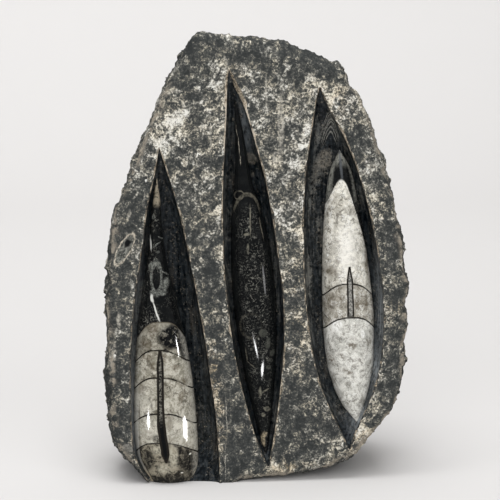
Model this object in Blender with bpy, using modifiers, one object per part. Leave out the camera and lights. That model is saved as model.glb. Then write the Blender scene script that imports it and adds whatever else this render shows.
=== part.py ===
"""Orthoceras plaque: three straight nautiloid shells standing in carved grooves of a black limestone slab.

Sizes are in millimetres until object_from turns them into metres; +Z is up. The carved face looks along -Y,
and the origin lies on the sawn base.
"""

import math

import bmesh
import bpy
import numpy as np
from mathutils import Matrix, Vector, noise

MM = 0.001
DOWN = (0.0, 0.0, -1.0)

# Carved face.
FACE_Y = -36.0  # its depth at the base
FACE_LEAN = math.radians(4.0)  # it leans back

# The slab's outline from the front, clockwise from the top left corner: (x, z).
OUTLINE = [
    (-32.8, 248.7), (-28.5, 251.4), (-19.8, 251.1), (-6.8, 250.2), (5.1, 248.2), (14.9, 245.2),
    (26.8, 239.8), (36.7, 236.0), (46.2, 231.6), (48.7, 226.7), (49.5, 219.3), (54.5, 216.0),
    (57.3, 211.6), (60.6, 205.1), (63.9, 195.8), (66.7, 187.0), (69.5, 181.5), (72.9, 168.8),
    (75.2, 162.1), (76.9, 151.1), (80.3, 137.7), (81.5, 128.7), (82.3, 113.4), (86.7, 111.6),
    (86.1, 105.9), (82.9, 101.0), (84.6, 90.5), (83.1, 73.6), (84.3, 66.7), (81.5, 55.4),
    (77.1, 40.6), (71.5, 33.9), (63.1, 24.3), (55.2, 13.5), (46.8, 9.7), (36.9, 7.0),
    (27.9, 5.5), (18.9, 4.6), (0.8, 2.1), (-11.0, 1.2), (-18.0, -6.0), (-50.0, -8.0),
    (-58.0, -3.0), (-66.3, 3.8), (-71.3, 9.6), (-78.4, 18.3), (-83.2, 27.6), (-84.5, 34.4),
    (-84.1, 41.8), (-87.1, 59.9), (-84.1, 75.6), (-84.2, 101.8), (-82.4, 110.1), (-82.2, 121.2),
    (-80.3, 140.5), (-79.0, 151.4), (-73.4, 163.4), (-69.9, 175.9), (-64.3, 187.8), (-59.8, 200.2),
    (-53.7, 214.2), (-50.9, 221.2), (-42.6, 237.6),
]
MIDDLE = (-4.0, 112.0)  # the sides and the top draw in towards this point on their way back
UNCUT_FRONT = -70.0  # the block starts here, in front of the carved face
# The block on its way back: (depth, share of the width and height kept, drop of its lower edge).
SECTIONS = [
    (-36.0, 1.0, 0.0), (-16.0, 1.0, 6.5), (-2.0, 0.985, 11.5), (14.0, 0.95, 17.0), (46.0, 0.84, 28.0),
]
DROP_BELOW = 40.0  # only what is lower than this is dropped

# Planes that break the block down to its faces: (point, outward normal).
FACETS = [
    ((0.0, FACE_Y, 0.0), (0.0, -math.cos(FACE_LEAN), math.sin(FACE_LEAN))),  # carved face
    ((0.0, -19.2, 240.0), (0.12, -1.0, 0.62)),  # worn margin along the top
    ((-62.0, -23.6, 186.0), (-0.75, -1.0, 0.42)),  # upper left shoulder
    ((-82.5, -29.6, 90.0), (-0.9, -0.75, 0.0)),  # left edge
    ((61.5, -21.0, 202.0), (0.8, -1.0, 0.35)),  # upper right shoulder
    ((82.5, -29.5, 92.0), (0.85, -0.8, 0.05)),  # right edge
    ((0.0, 37.0, 0.0), (0.0, 1.0, 0.09)),  # back
    ((0.0, 14.0, 222.0), (0.1, 1.0, 1.1)),  # top of the back
    ((-60.0, 24.0, 120.0), (-1.0, 0.9, 0.25)),  # left of the back
    ((-30.0, 33.0, 60.0), (-0.35, 1.0, -0.12)),  # lower left of the back
    ((56.0, 25.0, 130.0), (1.0, 1.1, 0.2)),  # right of the back
    ((60.0, 28.0, 40.0), (1.0, 0.7, -0.35)),  # lower right of the back
]

# Broken surface.
GRAIN = 4.0  # edge length of the stone's small facets
TRIANGLES_KEPT = 0.27  # share left once flat stretches are thinned out
FACE_ROUGHNESS = 0.5  # how far the carved face strays from its plane
BREAK_ROUGHNESS = 1.9  # how far the broken sides and back stray
BREAK_DEPTH = 9.0  # distance behind the face at which the roughness is full
BASE_HEIGHT = 10.0  # height over the base at which the roughness is full
SWELL = 46.0  # spacing of the large hollows
RIPPLE = 13.0  # spacing of the small ones
PLANE_CUTTER = 500.0  # edge of the boxes that cut the stone to a plane

# Almond-shaped grooves in the carved face: (height, left, right, depth).
GROOVES = {
    "left": [
        (188.0, -53.6, -53.4, 0.5), (173.0, -56.0, -48.8, 4.5), (158.0, -59.6, -44.4, 8.5),
        (140.0, -62.4, -40.2, 11.5), (120.0, -65.4, -36.2, 13.5), (100.0, -68.3, -32.6, 15.0),
        (78.0, -69.9, -28.9, 16.0), (57.0, -70.4, -26.2, 16.5), (37.0, -70.4, -23.6, 16.5),
        (22.0, -69.2, -22.6, 16.0), (8.0, -65.4, -22.0, 15.0), (-12.0, -58.0, -22.5, 13.0),
        (-30.0, -46.0, -40.0, 8.0),
    ],
    "middle": [
        (230.0, -15.3, -15.1, 0.5), (220.6, -16.1, -12.2, 3.5), (211.8, -16.4, -7.8, 6.0),
        (198.7, -17.0, -3.4, 8.5), (185.6, -17.9, 0.2, 10.5), (172.4, -18.6, 3.8, 12.0),
        (157.0, -19.0, 6.9, 13.0), (140.0, -18.9, 9.6, 13.5), (122.0, -18.3, 12.0, 14.0),
        (105.0, -16.9, 14.0, 14.0), (81.0, -14.2, 14.6, 13.5), (61.0, -10.5, 13.2, 12.5),
        (41.5, -5.9, 11.0, 10.5), (25.5, -1.3, 8.6, 7.5), (9.0, 5.3, 5.5, 0.5),
    ],
    "right": [
        (220.0, 34.2, 34.4, 0.5), (210.0, 32.0, 38.4, 4.5), (200.0, 30.6, 44.0, 7.5),
        (187.0, 28.5, 50.4, 10.0), (176.0, 27.1, 54.7, 12.0), (163.0, 26.2, 58.9, 13.5),
        (144.0, 25.5, 63.6, 14.5), (124.0, 25.8, 67.4, 15.0), (106.0, 26.6, 69.5, 15.0),
        (88.0, 28.4, 70.1, 14.5), (68.5, 31.5, 68.6, 13.5), (52.0, 36.0, 64.9, 11.5),
        (37.4, 41.9, 58.9, 8.5), (25.4, 47.7, 53.7, 4.5), (17.5, 51.3, 51.5, 0.5),
    ],
}
GROOVE_OVERLAP = 14.0  # how far a groove's cutter stands out of the face
TROUGH_SHAPE = (0.8, 0.9)  # squareness of the trough across and down, 1 for an ellipse
WALL_SHAPE = (0.25, 0.5)  # the same for the part of the cutter in front of the face

# Shells: (height, left, right, how far the crest stands over the face, half the shell's depth).
SHELLS = {
    "orthoceras_left": [
        (171.0, -54.9, -54.7, -3.0, 0.1), (157.0, -57.2, -53.0, -3.2, 2.4), (142.0, -58.7, -52.0, -2.8, 4.2),
        (128.0, -60.3, -50.4, -2.0, 6.0), (116.0, -62.2, -48.0, -1.0, 7.8), (102.0, -64.5, -44.6, 0.6, 10.2),
        (88.0, -66.4, -41.6, 2.0, 12.4), (70.0, -67.9, -37.9, 3.4, 14.6), (53.0, -69.0, -35.7, 4.3, 16.0),
        (37.0, -69.4, -34.3, 4.8, 16.6), (26.0, -68.9, -33.6, 4.6, 16.4), (16.0, -67.2, -33.3, 3.5, 15.4),
        (8.0, -64.7, -33.7, 1.4, 13.4), (0.0, -61.0, -36.0, -2.8, 10.0), (-6.0, -48.6, -48.4, -11.0, 0.1),
    ],
    "orthoceras_middle": [
        (214.0, -12.1, -11.9, -4.2, 0.1), (200.0, -11.8, -8.2, -4.0, 2.0), (185.0, -11.6, -5.4, -3.4, 3.4),
        (168.0, -12.2, -2.4, -2.6, 5.2), (155.0, -13.2, 1.8, -2.0, 7.0), (140.0, -14.2, 5.8, -1.4, 8.8),
        (122.0, -14.2, 9.0, -0.9, 10.0), (101.0, -13.2, 11.0, -0.7, 10.6), (81.0, -10.9, 11.4, -0.8, 10.2),
        (61.0, -7.4, 10.4, -1.4, 8.6), (41.0, -3.0, 8.7, -2.4, 6.2), (26.0, 0.6, 7.0, -3.0, 3.6),
        (13.0, 4.5, 4.7, -3.6, 0.1),
    ],
    "orthoceras_right": [
        (185.0, 45.7, 45.9, -5.0, 0.1), (173.0, 40.9, 52.8, -3.4, 5.0), (160.0, 38.8, 55.8, -1.9, 7.4),
        (150.0, 38.0, 57.8, -1.0, 8.8), (138.0, 37.3, 60.1, -0.2, 10.2), (122.0, 36.9, 62.6, 0.6, 11.6),
        (106.0, 36.9, 64.7, 1.1, 12.6), (86.0, 37.5, 66.3, 1.2, 13.0), (66.0, 39.4, 66.1, 0.6, 12.2),
        (51.0, 43.4, 63.6, -0.7, 9.8), (41.0, 48.2, 60.9, -2.2, 6.6), (31.5, 56.1, 56.3, -4.4, 0.1),
    ],
}
SHELL_FOOT = 0.4  # a shell that runs out of the slab is cut this far above the base
CLEARANCE = 0.3  # between a shell and its socket
SIDES = 24  # facets round a shell or a groove
SHELL_RINGS = 19
GROOVE_RINGS = 22

# Colour and roughness of each solid.
STONES = {
    "limestone_slab": ((0.060, 0.062, 0.064, 1.0), 0.75),
    "orthoceras_left": ((0.42, 0.40, 0.36, 1.0), 0.2),
    "orthoceras_middle": ((0.030, 0.031, 0.033, 1.0), 0.2),
    "orthoceras_right": ((0.58, 0.58, 0.55, 1.0), 0.25),
}


def clear_scene():
    for obj in list(bpy.data.objects):
        bpy.data.objects.remove(obj)


def new_collection(name):
    made = bpy.data.collections.new(name)
    bpy.context.scene.collection.children.link(made)
    return made


def object_from(name, bm, collection):
    """Makes an object in metres from a bmesh in millimetres."""
    bmesh.ops.scale(bm, vec=(MM, MM, MM), verts=bm.verts)
    bmesh.ops.recalc_face_normals(bm, faces=bm.faces)
    mesh = bpy.data.meshes.new(name)
    bm.to_mesh(mesh)
    bm.free()
    obj = bpy.data.objects.new(name, mesh)
    collection.objects.link(obj)
    return obj


def take_shape(obj):
    """Removes an object and gives its modified shape as a bmesh in millimetres."""
    graph = bpy.context.evaluated_depsgraph_get()
    mesh = bpy.data.meshes.new_from_object(obj.evaluated_get(graph))
    bm = bmesh.new()
    bm.from_mesh(mesh)
    bmesh.ops.scale(bm, vec=(1 / MM, 1 / MM, 1 / MM), verts=bm.verts)
    bpy.data.meshes.remove(mesh)
    bpy.data.objects.remove(obj)
    return bm


def paint(obj):
    colour, roughness = STONES[obj.name]
    material = bpy.data.materials.new(obj.name)
    material.use_nodes = True
    shader = material.node_tree.nodes["Principled BSDF"]
    shader.inputs["Base Color"].default_value = colour
    shader.inputs["Roughness"].default_value = roughness
    shader.inputs["Metallic"].default_value = 0.0
    obj.data.materials.append(material)


def face_depth(height):
    """Depth of the carved face at a height."""
    return FACE_Y + height * math.tan(FACE_LEAN)


def station_curve(stations):
    """A smooth function through the stations, whose values never overshoot between two of them."""
    rows = np.array(sorted(stations))
    heights, values = rows[:, 0], rows[:, 1:]
    steps = np.diff(heights)
    rises = np.diff(values, axis=0) / steps[:, None]
    before, after = rises[:-1], rises[1:]
    turning = before * after <= 0
    slopes = values * 0.0
    slopes[1:-1] = np.where(turning, 0.0, 2 * before * after / np.where(turning, 1.0, before + after))
    slopes[0], slopes[-1] = rises[0], rises[-1]

    def values_at(height):
        i = int(np.clip(np.searchsorted(heights, height) - 1, 0, len(steps) - 1))
        t = (np.clip(height, heights[0], heights[-1]) - heights[i]) / steps[i]
        start = (1 + 2 * t) * (1 - t) ** 2 * values[i] + t * (1 - t) ** 2 * steps[i] * slopes[i]
        end = t**2 * (3 - 2 * t) * values[i + 1] + t**2 * (t - 1) * steps[i] * slopes[i + 1]
        return start + end

    return values_at, heights[0], heights[-1]


def squared(value, shape):
    """A sine or cosine made fuller: shape 1 leaves it alone, 0 makes it a step."""
    return math.copysign(abs(value) ** shape, value)


def spindle(name, low, high, section, rings, collection):
    """Draws a sphere out between two heights. section gives x and y at a height for a direction (c, s)."""
    bm = bmesh.new()
    bmesh.ops.create_uvsphere(bm, u_segments=SIDES, v_segments=rings, radius=1.0)
    for vert in bm.verts:
        pole = abs(vert.co.z) > 0.9999
        radius = math.hypot(vert.co.x, vert.co.y)
        c, s = (0.0, 0.0) if pole else (vert.co.x / radius, vert.co.y / radius)
        height = (low + high) / 2 + vert.co.z * (high - low) / 2
        x, y = section(height, c, s)
        vert.co = (x, y, height)
    return object_from(name, bm, collection)


def as_cutter(obj):
    obj.hide_render = True
    obj.display_type = "WIRE"
    return obj


def cut(obj, cutter):
    boolean = obj.modifiers.new(cutter.name, "BOOLEAN")
    boolean.operation = "DIFFERENCE"
    boolean.solver = "EXACT"
    boolean.object = cutter


def beyond(name, point, normal, collection):
    """A cutter that takes away all that lies beyond a plane: a box standing on it."""
    bm = bmesh.new()
    turn = Vector(normal).to_track_quat("Z", "Y").to_matrix().to_4x4()
    place = Matrix.Translation(point) @ turn @ Matrix.Translation((0.0, 0.0, PLANE_CUTTER / 2))
    bmesh.ops.create_cube(bm, size=PLANE_CUTTER, matrix=place)
    return as_cutter(object_from(name, bm, collection))


def groove_cutter(name, stations, collection):
    """A full, rounded trough behind the carved face, with upright sides in front of it."""
    values_at, low, high = station_curve(stations)

    def section(height, c, s):
        left, right, depth = values_at(height)
        across_shape, down_shape = TROUGH_SHAPE if s >= 0 else WALL_SHAPE
        reach = depth if s >= 0 else GROOVE_OVERLAP
        x = (left + right) / 2 + squared(c, across_shape) * (right - left) / 2
        return x, face_depth(height) + squared(s, down_shape) * reach

    return as_cutter(spindle(name, low, high, section, GROOVE_RINGS, collection))


def shell_form(name, stations, grow, collection):
    """A shell's whole form, sunk in the slab up to its crest, grown on all sides for its socket."""
    values_at, low, high = station_curve(stations)

    def section(height, c, s):
        left, right, crest, half_depth = values_at(height)
        x = (left + right) / 2 + c * ((right - left) / 2 + grow)
        return x, face_depth(height) - crest + half_depth + s * (half_depth + grow)

    return spindle(name, low - grow, high + grow, section, SHELL_RINGS, collection)


def shell(name, stations, collection, cutters):
    fossil = shell_form(name, stations, 0.0, collection)
    lowest = min(height for height, *_ in stations)
    if lowest < SHELL_FOOT:
        cut(fossil, beyond(f"foot_{name}", (0.0, 0.0, SHELL_FOOT), DOWN, cutters))
    fossil.data.shade_smooth()
    paint(fossil)


def block(name, collection):
    """The outline drawn back from front to rear, narrowing on its way."""
    bm = bmesh.new()
    outline = bm.verts.layers.float_vector.new("outline")
    face = bm.faces.new([bm.verts.new((x, UNCUT_FRONT, z)) for x, z in OUTLINE])
    for vert in face.verts:
        vert[outline] = vert.co
    front = face
    for depth, share, drop in SECTIONS:
        drawn = bmesh.ops.extrude_face_region(bm, geom=[face])["geom"]
        if face is not front:
            bmesh.ops.delete(bm, geom=[face], context="FACES_ONLY")
        face = next(item for item in drawn if isinstance(item, bmesh.types.BMFace))
        for vert in face.verts:
            x, _, z = vert[outline]
            sink = drop * math.sqrt(max(0.0, 1 - z / DROP_BELOW))
            vert.co.x = MIDDLE[0] + (x - MIDDLE[0]) * share
            vert.co.y = depth
            vert.co.z = min(z, MIDDLE[1] + (z - MIDDLE[1]) * share) - sink
    return object_from(name, bm, collection)


def roughen(bm):
    """Moves the surface in and out, little on the carved face and more on the broken sides and back."""
    for vert in bm.verts:
        behind = vert.co.y - face_depth(vert.co.z)
        broken = min(max(behind / BREAK_DEPTH, 0.0), 1.0)
        raised = min(max(vert.co.z / BASE_HEIGHT, 0.0), 1.0)
        reach = raised * (FACE_ROUGHNESS + (BREAK_ROUGHNESS - FACE_ROUGHNESS) * broken)
        wave = noise.noise(vert.co / SWELL) + 0.5 * noise.noise(vert.co / RIPPLE)
        vert.co += vert.normal * reach * wave


def saw_base(bm):
    """Cuts the stone level at the base and closes the cut."""
    everything = bm.verts[:] + bm.edges[:] + bm.faces[:]
    sawn = bmesh.ops.bisect_plane(bm, geom=everything, plane_co=(0, 0, 0), plane_no=DOWN, clear_outer=True)
    rim = [item for item in sawn["geom_cut"] if isinstance(item, bmesh.types.BMEdge)]
    bmesh.ops.holes_fill(bm, edges=rim, sides=0)


def broken_stone(name, collection, cutters):
    """The slab before it is carved: the block broken down to its faces, small facets all over, base sawn."""
    stone = block("block", collection)
    planes = [beyond(f"facet_{i}", *plane, cutters) for i, plane in enumerate(FACETS)]
    for plane in planes:
        cut(stone, plane)
    grain = stone.modifiers.new("grain", "REMESH")
    grain.mode = "VOXEL"
    grain.voxel_size = GRAIN * MM
    bm = take_shape(stone)
    for plane in planes:
        bpy.data.objects.remove(plane)

    roughen(bm)
    stone = object_from("rough_block", bm, collection)
    thin = stone.modifiers.new("thin out", "DECIMATE")
    thin.ratio = TRIANGLES_KEPT
    bm = take_shape(stone)
    saw_base(bm)
    return object_from(name, bm, collection)


def main():
    clear_scene()
    plaque = new_collection("orthoceras_fossil")
    cutters = new_collection("cutters")

    slab = broken_stone("limestone_slab", plaque, cutters)
    for name, stations in GROOVES.items():
        cut(slab, groove_cutter(f"groove_{name}", stations, cutters))
    for name, stations in SHELLS.items():
        cut(slab, as_cutter(shell_form(f"socket_{name}", stations, CLEARANCE, cutters)))
        shell(name, stations, plaque, cutters)
    paint(slab)


main()
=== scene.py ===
# Orthoceras plaque: three polished nautiloid shells standing in carved grooves of a black limestone slab.
# Sizes and places are in millimetres here, and become metres where a mesh, light or camera is made.

import math

import bpy
import numpy as np
from mathutils import Matrix, Vector, noise


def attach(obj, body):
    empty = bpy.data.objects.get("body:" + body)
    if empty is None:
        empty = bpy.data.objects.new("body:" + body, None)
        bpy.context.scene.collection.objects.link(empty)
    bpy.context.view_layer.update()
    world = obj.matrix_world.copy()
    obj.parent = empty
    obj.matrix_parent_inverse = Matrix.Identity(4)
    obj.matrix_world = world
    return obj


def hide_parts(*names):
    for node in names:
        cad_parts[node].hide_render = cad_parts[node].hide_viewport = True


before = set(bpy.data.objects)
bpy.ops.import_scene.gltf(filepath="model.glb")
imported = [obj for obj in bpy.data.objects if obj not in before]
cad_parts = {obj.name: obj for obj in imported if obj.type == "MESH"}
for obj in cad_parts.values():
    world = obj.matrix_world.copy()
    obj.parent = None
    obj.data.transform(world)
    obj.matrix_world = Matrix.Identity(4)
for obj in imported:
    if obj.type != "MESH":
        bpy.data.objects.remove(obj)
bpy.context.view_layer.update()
print("frame loaded")

millimetre = 0.001

carvedFace = {"depthAtBase": -36.0, "lean": math.radians(4.0)}  # the slab's front, which leans back

# The grooves' rows are (height, left, right, depth), as in the solids but for the foot of the left one.
grooves = {
    "left": [
        (188.0, -53.6, -53.4, 0.5), (173.0, -56.0, -48.8, 4.5), (158.0, -59.6, -44.4, 8.5),
        (140.0, -62.4, -40.2, 11.5), (120.0, -65.4, -36.2, 13.5), (100.0, -68.3, -32.6, 15.0),
        (78.0, -70.1, -28.9, 16.0), (57.0, -70.7, -26.2, 16.5), (37.0, -70.7, -23.6, 16.0),
        (22.0, -69.8, -22.6, 14.0), (10.0, -66.4, -22.0, 9.5), (0.0, -60.4, -22.0, 4.5),
        (-12.0, -50.0, -23.0, 1.5), (-30.0, -41.0, -40.0, 0.3),
    ],
    "middle": [
        (230.0, -15.3, -15.1, 0.5), (220.6, -16.1, -12.2, 3.5), (211.8, -16.4, -7.8, 6.0),
        (198.7, -17.0, -3.4, 8.5), (185.6, -17.9, 0.2, 10.5), (172.4, -18.6, 3.8, 12.0),
        (157.0, -19.0, 6.9, 13.0), (140.0, -18.9, 9.6, 13.5), (122.0, -18.3, 12.0, 14.0),
        (105.0, -16.9, 14.0, 14.0), (81.0, -14.2, 14.6, 13.5), (61.0, -10.5, 13.2, 12.5),
        (41.5, -5.9, 11.0, 10.5), (25.5, -1.3, 8.6, 7.5), (9.0, 5.3, 5.5, 0.5),
    ],
    "right": [
        (220.0, 34.2, 34.4, 0.5), (210.0, 32.0, 38.4, 4.5), (200.0, 30.6, 44.0, 7.5),
        (187.0, 28.5, 50.4, 10.0), (176.0, 27.1, 54.7, 12.0), (163.0, 26.2, 58.9, 13.5),
        (144.0, 25.5, 63.6, 14.5), (124.0, 25.8, 67.4, 15.0), (106.0, 26.6, 69.5, 15.0),
        (88.0, 28.4, 70.1, 14.5), (68.5, 31.5, 68.6, 13.5), (52.0, 36.0, 64.9, 11.5),
        (37.4, 41.9, 58.9, 8.5), (25.4, 47.7, 53.7, 4.5), (17.5, 51.3, 51.5, 0.5),
    ],
}

# The shells' rows are (height, left, right, how far the crest stands over the face, half the shell's depth);
# the foot of the left one is a little wider than in the solids.
shells = {
    "orthoceras_left": [
        (171.0, -54.9, -54.7, -3.0, 0.1), (157.0, -57.2, -53.0, -3.2, 2.4), (142.0, -58.7, -52.0, -2.8, 4.2),
        (128.0, -60.3, -50.4, -2.0, 6.0), (116.0, -62.2, -48.0, -1.0, 7.8), (102.0, -64.5, -44.6, 0.6, 10.2),
        (88.0, -66.4, -41.6, 2.0, 12.4), (70.0, -68.0, -37.9, 3.4, 14.6), (53.0, -69.2, -35.7, 4.3, 16.0),
        (37.0, -69.9, -34.3, 4.8, 16.6), (26.0, -70.1, -33.6, 4.6, 16.4), (16.0, -69.3, -33.2, 3.5, 15.4),
        (8.0, -67.4, -33.2, 1.4, 13.4), (0.0, -63.5, -34.4, -2.0, 10.6), (-6.0, -50.0, -49.8, -11.0, 0.1),
    ],
    "orthoceras_middle": [
        (214.0, -12.1, -11.9, -4.2, 0.1), (200.0, -11.8, -8.2, -4.0, 2.0), (185.0, -11.6, -5.4, -3.4, 3.4),
        (168.0, -12.2, -2.4, -2.6, 5.2), (155.0, -13.2, 1.8, -2.0, 7.0), (140.0, -14.2, 5.8, -1.4, 8.8),
        (122.0, -14.2, 9.0, -0.9, 10.0), (101.0, -13.2, 11.0, -0.7, 10.6), (81.0, -10.9, 11.4, -0.8, 10.2),
        (61.0, -7.4, 10.4, -1.4, 8.6), (41.0, -3.0, 8.7, -2.4, 6.2), (26.0, 0.6, 7.0, -3.0, 3.6),
        (13.0, 4.5, 4.7, -3.6, 0.1),
    ],
    "orthoceras_right": [
        (185.0, 45.7, 45.9, -5.0, 0.1), (173.0, 40.9, 52.8, -3.4, 5.0), (160.0, 38.8, 55.8, -1.9, 7.4),
        (150.0, 38.0, 57.8, -1.0, 8.8), (138.0, 37.3, 60.1, -0.2, 10.2), (122.0, 36.9, 62.6, 0.6, 11.6),
        (106.0, 36.9, 64.7, 1.1, 12.6), (86.0, 37.5, 66.3, 1.2, 13.0), (66.0, 39.4, 66.1, 0.6, 12.2),
        (51.0, 43.4, 63.6, -0.7, 9.8), (41.0, 48.2, 60.9, -2.2, 6.6), (31.5, 56.1, 56.3, -4.4, 0.1),
    ],
}


def faceDepth(height):
    return carvedFace["depthAtBase"] + height * math.tan(carvedFace["lean"])


def stationCurve(rows):
    # a smooth curve through the rows that never overshoots between two of them
    table = np.array(sorted(rows))
    heights, values = table[:, 0], table[:, 1:]
    steps = np.diff(heights)[:, None]
    rises = np.diff(values, axis=0) / steps
    before, after = rises[:-1], rises[1:]
    rising = before * after > 0
    inner = np.where(rising, 2 * before * after / np.where(rising, before + after, 1.0), 0.0)
    slopes = np.vstack([rises[:1], inner, rises[-1:]])

    def valuesAt(height):
        height = np.clip(height, heights[0], heights[-1])
        i = np.clip(np.searchsorted(heights, height) - 1, 0, len(steps) - 1)
        t = ((height - heights[i]) / steps[i, 0])[:, None]
        start = (1 + 2 * t) * (1 - t) ** 2 * values[i] + t * (1 - t) ** 2 * steps[i] * slopes[i]
        end = t**2 * (3 - 2 * t) * values[i + 1] + t**2 * (t - 1) * steps[i] * slopes[i + 1]
        return (start + end).T

    return valuesAt, heights[0], heights[-1]


def readPoints(piece):
    points = np.zeros(len(piece.data.vertices) * 3, np.float32)
    piece.data.vertices.foreach_get("co", points)
    return points.reshape(-1, 3).astype(float) / millimetre


def writePoints(piece, points):
    piece.data.vertices.foreach_set("co", (points * millimetre).astype(np.float32).ravel())
    piece.data.update()


def readNormals(piece):
    normals = np.zeros(len(piece.data.vertices) * 3, np.float32)
    piece.data.vertices.foreach_get("normal", normals)
    return normals.reshape(-1, 3).astype(float)


def writeAttribute(piece, name, values):
    made = piece.data.attributes.new(name, "FLOAT", "POINT")
    made.data.foreach_set("value", np.asarray(values, np.float32))


def eased(value, start, end):
    # 0 at start, 1 at end, eased at both
    t = np.clip((value - start) / (end - start), 0.0, 1.0)
    return t * t * (3 - 2 * t)


def choose(piece):
    bpy.ops.object.select_all(action="DESELECT")
    piece.select_set(True)
    bpy.context.view_layer.objects.active = piece


def applyModifier(piece, kind, **settings):
    choose(piece)
    modifier = piece.modifiers.new(kind.lower(), kind)
    for name, value in settings.items():
        setattr(modifier, name, value)
    bpy.ops.object.modifier_apply(modifier=modifier.name)


def inEditMode(piece, operator, **settings):
    choose(piece)
    bpy.ops.object.mode_set(mode="EDIT")
    bpy.ops.mesh.select_all(action="SELECT")
    operator(**settings)
    bpy.ops.object.mode_set(mode="OBJECT")


def drawnSphere(name, lowest, topmost, section, sides, rings):
    # a sphere drawn out between two heights; section gives x and y at a height for a direction round the form
    bpy.ops.mesh.primitive_uv_sphere_add(segments=sides, ring_count=rings, radius=1.0)
    form = bpy.context.object
    form.name = form.data.name = name
    points = readPoints(form) * millimetre
    radius = np.maximum(np.hypot(points[:, 0], points[:, 1]), 1e-6)
    heights = (lowest + topmost) / 2 + points[:, 2] * (topmost - lowest) / 2
    x, y = section(heights, points[:, 0] / radius, points[:, 1] / radius)
    writePoints(form, np.stack([x, y, heights], axis=1))
    return form


def squared(value, shape):
    # a sine or cosine made fuller: shape 1 leaves it alone
    return np.sign(value) * np.abs(value) ** shape


def newMaterial(name):
    material = bpy.data.materials.new(name)
    material.use_nodes = True
    return material, material.node_tree, material.node_tree.nodes["Principled BSDF"]


def addNode(tree, kind, inputs, **settings):
    made = tree.nodes.new("ShaderNode" + kind)
    for name, value in settings.items():
        setattr(made, name, value)
    for name, value in inputs.items():
        if isinstance(value, bpy.types.NodeSocket):
            tree.links.new(value, made.inputs[name])
        else:
            made.inputs[name].default_value = value
    return made


def maths(tree, operation, *values):
    return addNode(tree, "Math", dict(enumerate(values)), operation=operation).outputs[0]


def fade(tree, value, start, end, low=0.0, high=1.0):
    # low at start, high at end, eased at both
    limits = {"Value": value, "From Min": start, "From Max": end, "To Min": low, "To Max": high}
    return addNode(tree, "MapRange", limits, interpolation_type="SMOOTHSTEP").outputs["Result"]


def mixed(tree, amount, first, second, blend="MIX"):
    colours = {0: amount, 6: asColour(first), 7: asColour(second)}
    return addNode(tree, "Mix", colours, data_type="RGBA", blend_type=blend).outputs[2]


def asColour(value):
    return (*value, 1.0) if isinstance(value, tuple) and len(value) == 3 else value


def ramp(tree, value, stops):
    # a colour for each value, mixed between the stops (value, colour)
    made = addNode(tree, "ValToRGB", {"Fac": value})
    elements = made.color_ramp.elements
    for _ in stops[2:]:
        elements.new(0.5)
    for element, (position, colour) in zip(elements, stops):
        element.position = position
        element.color = asColour(colour)
    return made.outputs["Color"]


def folded(tree, operation, values):
    # all the values put through one operation, one after the other
    result = values[0]
    for value in values[1:]:
        result = maths(tree, operation, result, value)
    return result


def highest(tree, *values):
    return folded(tree, "MAXIMUM", values)


def product(tree, *values):
    return folded(tree, "MULTIPLY", values)


def total(tree, *values):
    return folded(tree, "ADD", values)


def laid(tree, colour, tint, *masks):
    # the colour with a tint laid over it where every mask is 1
    return mixed(tree, product(tree, *masks), colour, tint)


def placeOnPiece(tree):
    # the point on the piece, in millimetres
    place = addNode(tree, "TexCoord", {}).outputs["Object"]
    return addNode(tree, "VectorMath", {0: place, "Scale": 1 / millimetre}, operation="SCALE").outputs[0]


def stretched(tree, place, factors):
    return addNode(tree, "VectorMath", {0: place, 1: factors}, operation="MULTIPLY").outputs[0]


def cloud(tree, place, size, detail=3.0, roughness=0.55, distortion=0.0):
    # noise from 0 to 1 whose lumps are about size millimetres across
    inputs = {"Vector": place, "Scale": 1 / size, "Detail": detail, "Roughness": roughness}
    return addNode(tree, "TexNoise", {**inputs, "Distortion": distortion}).outputs["Fac"]


def patchy(tree, place, noiseOf, start, end, low=0.0, high=1.0):
    # low at start and high at end of the cloud noise; noiseOf is its size, detail, roughness and distortion
    return fade(tree, cloud(tree, place, *noiseOf), start, end, low, high)


def waver(tree, place, noiseOf, reach):
    # cloud noise about 0, which strays by half the reach at most
    return maths(tree, "MULTIPLY", maths(tree, "SUBTRACT", cloud(tree, place, *noiseOf), 0.5), reach)


def ridges(tree, place, size, detail=3.0, lacunarity=2.2):
    # branching ridges, brightest along their crests
    inputs = {"Vector": place, "Scale": 1 / size, "Detail": detail, "Roughness": 0.55}
    inputs.update({"Lacunarity": lacunarity, "Offset": 1.0, "Gain": 2.0, "Distortion": 0.5})
    return addNode(tree, "TexNoise", inputs, noise_type="RIDGED_MULTIFRACTAL", normalize=False).outputs["Fac"]


def threads(tree, place, size, width, detail=2.0, distortion=0.6):
    # thin winding lines, 1 on the line
    waves = cloud(tree, place, size, detail, 0.55, distortion)
    return fade(tree, maths(tree, "ABSOLUTE", maths(tree, "SUBTRACT", waves, 0.5)), width, 0.0)


def attribute(tree, name):
    return addNode(tree, "Attribute", {}, attribute_name=name).outputs["Fac"]


def wavered(tree, place, size, reach):
    # the place, pushed about by noise so that a mark on it has a ragged edge
    push = addNode(tree, "TexNoise", {"Vector": place, "Scale": 1 / size, "Detail": 2.0}).outputs["Color"]
    centred = addNode(tree, "VectorMath", {0: push, 1: (0.5, 0.5, 0.5)}, operation="SUBTRACT").outputs[0]
    scaled = addNode(tree, "VectorMath", {0: centred, "Scale": 2 * reach}, operation="SCALE").outputs[0]
    return addNode(tree, "VectorMath", {0: place, 1: scaled}, operation="ADD").outputs[0]


def ellipse(tree, place, x, z, radiusX, radiusZ, turn=0.0):
    # distance from the middle of a mark on the front, 1 at its edge
    inputs = {"Vector": place, "Location": (x, 0, z), "Rotation": (0, math.radians(turn), 0)}
    inputs["Scale"] = (radiusX, 1e6, radiusZ)
    local = addNode(tree, "Mapping", inputs, vector_type="TEXTURE").outputs[0]
    return addNode(tree, "VectorMath", {0: local}, operation="LENGTH").outputs["Value"]


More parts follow.
